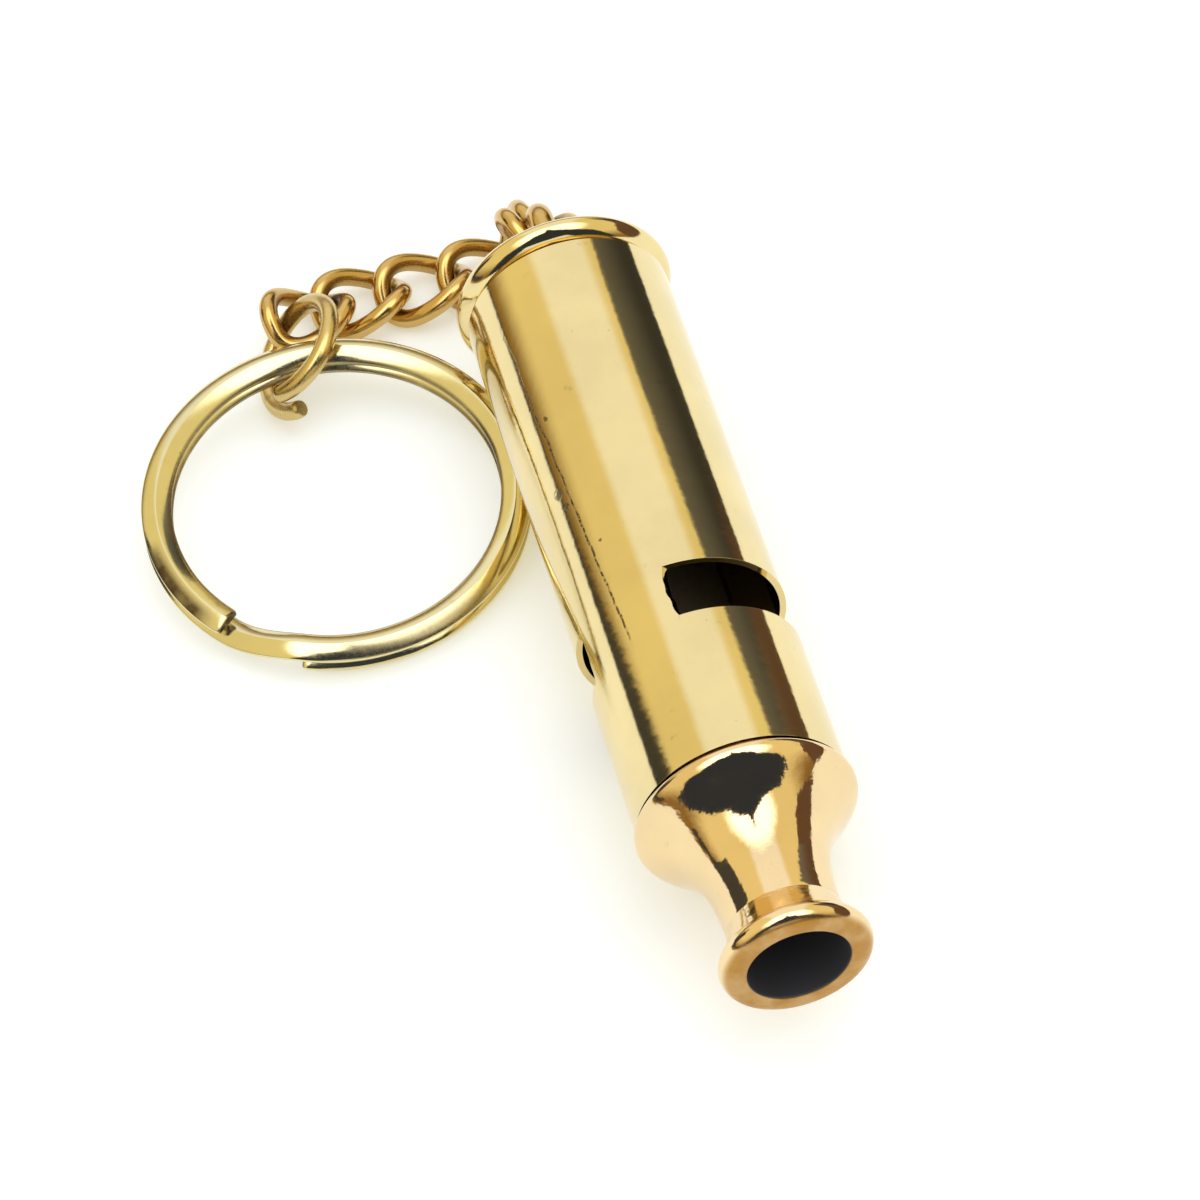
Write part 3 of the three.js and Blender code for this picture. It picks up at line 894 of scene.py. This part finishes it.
def half_round(wide, thick, edge):
    """A closed wire section: flat below with round corners, short upright edges, and a low dome above.

    The dome is half a superellipse of low power, more like a roof with a soft ridge than an ellipse.
    """
    t = np.radians(np.linspace(0, 180, 41))
    dome = np.stack([wide / 2 * squared(np.cos(t), ROOF_POWER),
                     edge - thick / 2 + (thick - edge) * squared(np.sin(t), ROOF_POWER)], axis=-1)
    corner = edge / 3
    left = arc(corner - wide / 2, corner - thick / 2, corner, 180, 270, 6)
    right = arc(wide / 2 - corner, corner - thick / 2, corner, 270, 360, 6)
    return np.vstack([dome, left, right])


def ring_path(size):
    """The key ring's wire, and how far along it each point is in degrees.

    It goes round level, drops from the upper coil to the lower as a smooth step, and goes round again.
    """
    jog = math.degrees(size.ring_jog)
    coil = 360 - jog
    run = np.linspace(0, 2 * coil + jog, 840)
    turn = size.ring_start - np.radians(run)
    radius = size.ring_radius - size.ring_width / 2
    height = (size.ring_thick + size.coil_gap) * (0.5 - smooth((run - coil) / jog))
    return np.stack([radius * np.cos(turn), radius * np.sin(turn), height], axis=-1), run


def ring_painted_dark(run, section, size):
    """Where the key ring is painted dark: painted dark reflections in places on its outer slope, and painted
    shade all along its inner edge.
    """
    place = section[:, 0] / size.ring_width
    on_dome = section[:, 1] > size.ring_edge - size.ring_thick / 2
    outer = smooth(-3 * place) * on_dome
    inner = INNER_GAP_SHADE * smooth((2 * place - 0.75) / 0.2)
    # Painted dark reflections on the outer slope, in the stretches listed above.
    worn = np.max([most * between(run, low, high, soft) for low, high, soft, most in RING_DARK_REFLECTIONS], axis=0)
    return np.maximum(worn[:, None] * outer, inner)


class WHISTLE_OT_split_ring(bpy.types.Operator):
    """Builds the split key ring, two coils of half-round wire with one step between them"""
    bl_idname = "whistle.split_ring"
    bl_label = "Split Ring"

    def execute(self, context):
        _, size, brasses, _ = sizes()
        path, run = ring_path(size)
        section = half_round(size.ring_width, size.ring_thick, size.ring_edge)
        wire = swept(path, cut_ends(section, len(path)), (0, 0, 1), False)
        placed = laid(wire, rotation(RING_TILT[0], "X") @ rotation(RING_TILT[1], "Y"), "split_ring")
        # Darker at the cut ends, with painted dark reflections on the outer slope and painted shade along
        # the inner edge.
        stain = np.maximum(at_ends(wire), ring_painted_dark(run, section, size))
        piece = make_mesh("split_ring_skin", *skin(placed, False, True, cap_ends=True), recess=stain)
        finish = brass("satin_ring_brass", brasses.ring, brasses.tarnish, polish=0.13, lines=(2500,) * 3,
                       film=0.2, recess=1.0)
        settle(piece, "key_ring", "ring_brass", finish, "split_ring")
        return {"FINISHED"}


# Stage

# The camera's place in metres and its axes, and its focal length over the picture's width, in pixels.
CAMERA_PLACE = (-0.024101, -0.241913, 0.316987)
CAMERA_RIGHT = (0.96188, -0.25640, -0.09508)
CAMERA_UP = (0.26017, 0.75097, 0.60692)
CAMERA_BACK = (-0.08421, -0.60852, 0.78906)
FOCAL_SHARE = 5300 / 1200

# Places and distances of the stage in metres.
LAMP_PLACE = (0.25, 0.15, 0.75)
FLOOR_REACH = 2.0
BOARD_DISTANCE = 1.2

# The ceiling in reflections, by the X, Y and Z of a direction: the middle of its white part across, where
# it turns warm on both sides, where it ends above the low sides, and the way to its brightest part with
# that part's soft edge.
CEILING_MIDDLE = 0.03
WARM_EDGE = (0.31, 0.45)
LOW_EDGE = (0.05, 0.4)
GLOW_TOWARD = (0.0, -0.34, 0.94)
GLOW_EDGE = (0.78, 0.93)

# Outlines of the boards: heading, foot and top in degrees, where heading 0 is +Y and 90 is +X.
FAR_RIGHT = ((38, -1, 36), (52.8, -1, 35))
RIGHT = ((52.8, -1, 35), (62, -1, 30), (72, -1, 27))
BESIDE = ((72, -1, 27), (75, -1, 26), (100, -1, 26), (118, -1, 18), (122, -1, 8))
LEFT = ((-120, 3, 8), (-80, 3, 8), (-78, -1, 27), (-56, -1, 28), (-53.5, -1, 20), (-52.5, -1, 9),
        (-51.5, -1, 2.5), (-44, -1, 2))
NEAR = ((138, -1, 30), (146, -1, 40), (158, -1, 58), (166, 28, 66), (174, 28, 72), (180, 28, 86),
        (184, 28, 86), (188, 28, 66), (200, 28, 62), (207, -1, 60), (215, -1, 44), (226, -1, 30))


def seen_rays(n):
    """1 for rays from the eye and for reflected and transmitted rays, 0 for the rest."""
    path = n.add("ShaderNodeLightPath").outputs
    total = n.math("ADD", path["Is Camera Ray"], path["Is Glossy Ray"])
    total = n.math("ADD", total, path["Is Transmission Ray"])
    return n.math("MINIMUM", total, 1.0)


def board_finish(name, foot, top=None):
    """A plain glowing shade, the same from everywhere, graded from foot to top if top is given."""
    material, n = new_finish(name)
    shade = n.blend(n.span(n.layer("rise"), 0.25, 1.1), foot, top) if top else foot
    glow = n.add("ShaderNodeEmission", {"Color": shade, "Strength": 1.0})
    n.add("ShaderNodeOutputMaterial", {"Surface": glow.outputs[0]})
    return material


def board(name, outline, material):
    """A curved board: a grid of headings by heights on a sphere about the object.

    Its foot and top go straight between the places of its outline.
    """
    places = np.array(outline, dtype=float)
    heading = np.unique(np.concatenate([places[:, 0], np.linspace(places[0, 0], places[-1, 0], 60)]))
    foot, top = (np.interp(heading, places[:, 0], places[:, i]) for i in (1, 2))
    rise = np.linspace(0, 1, 12)[:, None] + 0 * foot
    height = np.radians(foot + (top - foot) * rise)
    heading = np.radians(heading)
    points = BOARD_DISTANCE * np.stack([
        np.cos(height) * np.sin(heading), np.cos(height) * np.cos(heading), np.sin(height)], axis=-1)
    piece = make_mesh(name, *skin(points, False, False), rise=rise)
    piece.data.materials.append(material)
    for kind in ("camera", "diffuse", "shadow", "volume_scatter"):
        setattr(piece, f"visible_{kind}", False)


class WHISTLE_OT_stage(bpy.types.Operator):
    """Sets the camera, the pale floor, the soft light and the boards that shape the reflections"""
    bl_idname = "whistle.stage"
    bl_label = "Stage"

    def execute(self, context):
        looks = sizes()[3]
        context.scene.view_settings.view_transform = "Standard"
        self.make_camera(context.scene)
        self.make_floor(looks)
        self.make_light(context.scene, looks)
        self.make_world(context.scene, looks)
        self.make_boards(looks)
        return {"FINISHED"}

    def make_camera(self, scene):
        """The camera that sees the object as the photograph does."""
        data = bpy.data.cameras.new("camera")
        data.sensor_width = 36.0
        data.lens = data.sensor_width * FOCAL_SHARE
        data.clip_start, data.clip_end = 0.01, 50.0
        camera = bpy.data.objects.new("camera", data)
        turn = Matrix((CAMERA_RIGHT, CAMERA_UP, CAMERA_BACK)).transposed().to_4x4()
        camera.matrix_world = Matrix.Translation(CAMERA_PLACE) @ turn
        scene.collection.objects.link(camera)
        scene.camera = camera

    def make_floor(self, looks):
        """A wide pale floor that shows white to the eye and in reflections, and keeps its shadows."""
        corners = FLOOR_REACH * np.array([[-1, -1, 0], [1, -1, 0], [1, 1, 0], [-1, 1, 0]], dtype=float)
        floor = make_mesh("floor", corners, [[0, 1, 2, 3]])
        material, n = new_finish("pale_floor")
        plain = n.add("ShaderNodeBsdfDiffuse", {"Color": opaque(looks.floor)}).outputs[0]
        # The warm lift shows in the floor's shadows as painted warm light, as if bounced off the brass.
        tint = opaque(looks.lift_tint)
        lifted = n.add("ShaderNodeEmission", {"Color": tint, "Strength": looks.lift}).outputs[0]
        shown = n.add("ShaderNodeAddShader", {0: lifted, 1: plain}).outputs[0]
        mixed = n.add("ShaderNodeMixShader", {0: seen_rays(n), 1: plain, 2: shown}).outputs[0]
        n.add("ShaderNodeOutputMaterial", {"Surface": mixed})
        floor.data.materials.append(material)

    def make_light(self, scene, looks):
        """One broad soft lamp high on the right, hidden from reflections."""
        data = bpy.data.lights.new("soft_lamp", "AREA")
        data.shape = "DISK"
        data.size = looks.lamp_size
        data.energy = looks.lamp_power
        lamp = bpy.data.objects.new("soft_lamp", data)
        lamp.location = LAMP_PLACE
        lamp.rotation_mode = "QUATERNION"
        lamp.rotation_quaternion = Vector(LAMP_PLACE).to_track_quat("Z", "Y")
        lamp.visible_glossy = False
        scene.collection.objects.link(lamp)

    def make_world(self, scene, looks):
        """A bright ceiling with warm sides in reflections, and an even light elsewhere."""
        world = bpy.data.worlds.new("studio")
        world.use_nodes = True
        scene.world = world
        n = Nodes(world.node_tree)
        direction = n.add("ShaderNodeTexCoord").outputs["Generated"]
        toward = n.parts(direction)
        across = n.math("ABSOLUTE", n.math("SUBTRACT", toward["X"], CEILING_MIDDLE))
        ceiling = n.blend(n.span(across, *WARM_EDGE), opaque((1, 1, 1), looks.sky), opaque(looks.warm))
        ceiling = n.blend(n.span(toward["Z"], *LOW_EDGE), opaque(looks.low), ceiling)
        near_glow = n.vector("DOT_PRODUCT", direction, GLOW_TOWARD)["Value"]
        ceiling = n.blend(n.span(near_glow, *GLOW_EDGE), ceiling, opaque((1, 1, 1), looks.glow))
        path = n.add("ShaderNodeLightPath").outputs
        tinted = n.blend(path["Is Glossy Ray"], opaque(looks.room), ceiling)
        shown = n.blend(path["Is Camera Ray"], tinted, opaque(looks.backdrop))
        light = n.add("ShaderNodeBackground", {"Color": shown, "Strength": 1.0})
        n.add("ShaderNodeOutputWorld", {"Surface": light.outputs[0]})

    def make_boards(self, looks):
        """The boards round the object, each with its own shade."""
        graded = board_finish("graded_board", opaque(looks.dark, 0.75), opaque(looks.dark, 2.45))
        rusty = board_finish("rusty_board", opaque(looks.brown, 0.9), opaque(looks.dark, 2.8))
        board("board_far_right", FAR_RIGHT, graded)
        board("board_right", RIGHT, rusty)
        board("board_beside", BESIDE, board_finish("brown_board", opaque(looks.brown)))
        board("board_left", LEFT, board_finish("dark_board", opaque(looks.dark)))
        board("board_near", NEAR, board_finish("cool_board", opaque(looks.cool)))


# Add-on

class WHISTLE_PT_panel(bpy.types.Panel):
    """Lists the whistle's pieces and settings"""
    bl_idname = "WHISTLE_PT_panel"
    bl_label = "Brass Whistle"
    bl_space_type = "VIEW_3D"
    bl_region_type = "UI"
    bl_category = "Whistle"

    def draw(self, context):
        for maker in MAKERS:
            self.layout.operator(maker.bl_idname)
        for group_name, group in GROUPS.items():
            box = self.layout.box()
            for name in group.__annotations__:
                box.prop(getattr(context.scene, group_name), name)


GROUPS = {"whistle_sizes": WhistleSizes, "whistle_chain": ChainSizes, "whistle_brass": BrassFinish,
          "whistle_stage": StageLooks}
MAKERS = (WHISTLE_OT_stage, WHISTLE_OT_body_tube, WHISTLE_OT_end_cap, WHISTLE_OT_mouthpiece,
          WHISTLE_OT_inner_works, WHISTLE_OT_curb_chain, WHISTLE_OT_jump_ring, WHISTLE_OT_split_ring)
CLASSES = (*GROUPS.values(), *MAKERS, WHISTLE_PT_panel)


def register():
    """Adds the classes, and the settings to every scene."""
    for kind in CLASSES:
        bpy.utils.register_class(kind)
    for name, group in GROUPS.items():
        setattr(bpy.types.Scene, name, bpy.props.PointerProperty(type=group))


def unregister():
    """Takes the settings and the classes away again."""
    for name in GROUPS:
        delattr(bpy.types.Scene, name)
    for kind in reversed(CLASSES):
        bpy.utils.unregister_class(kind)


def main():
    """Builds every piece in order."""
    register()
    for maker in MAKERS:
        family, name = maker.bl_idname.split(".")
        getattr(getattr(bpy.ops, family), name)()


if __name__ == "__main__":
    main()
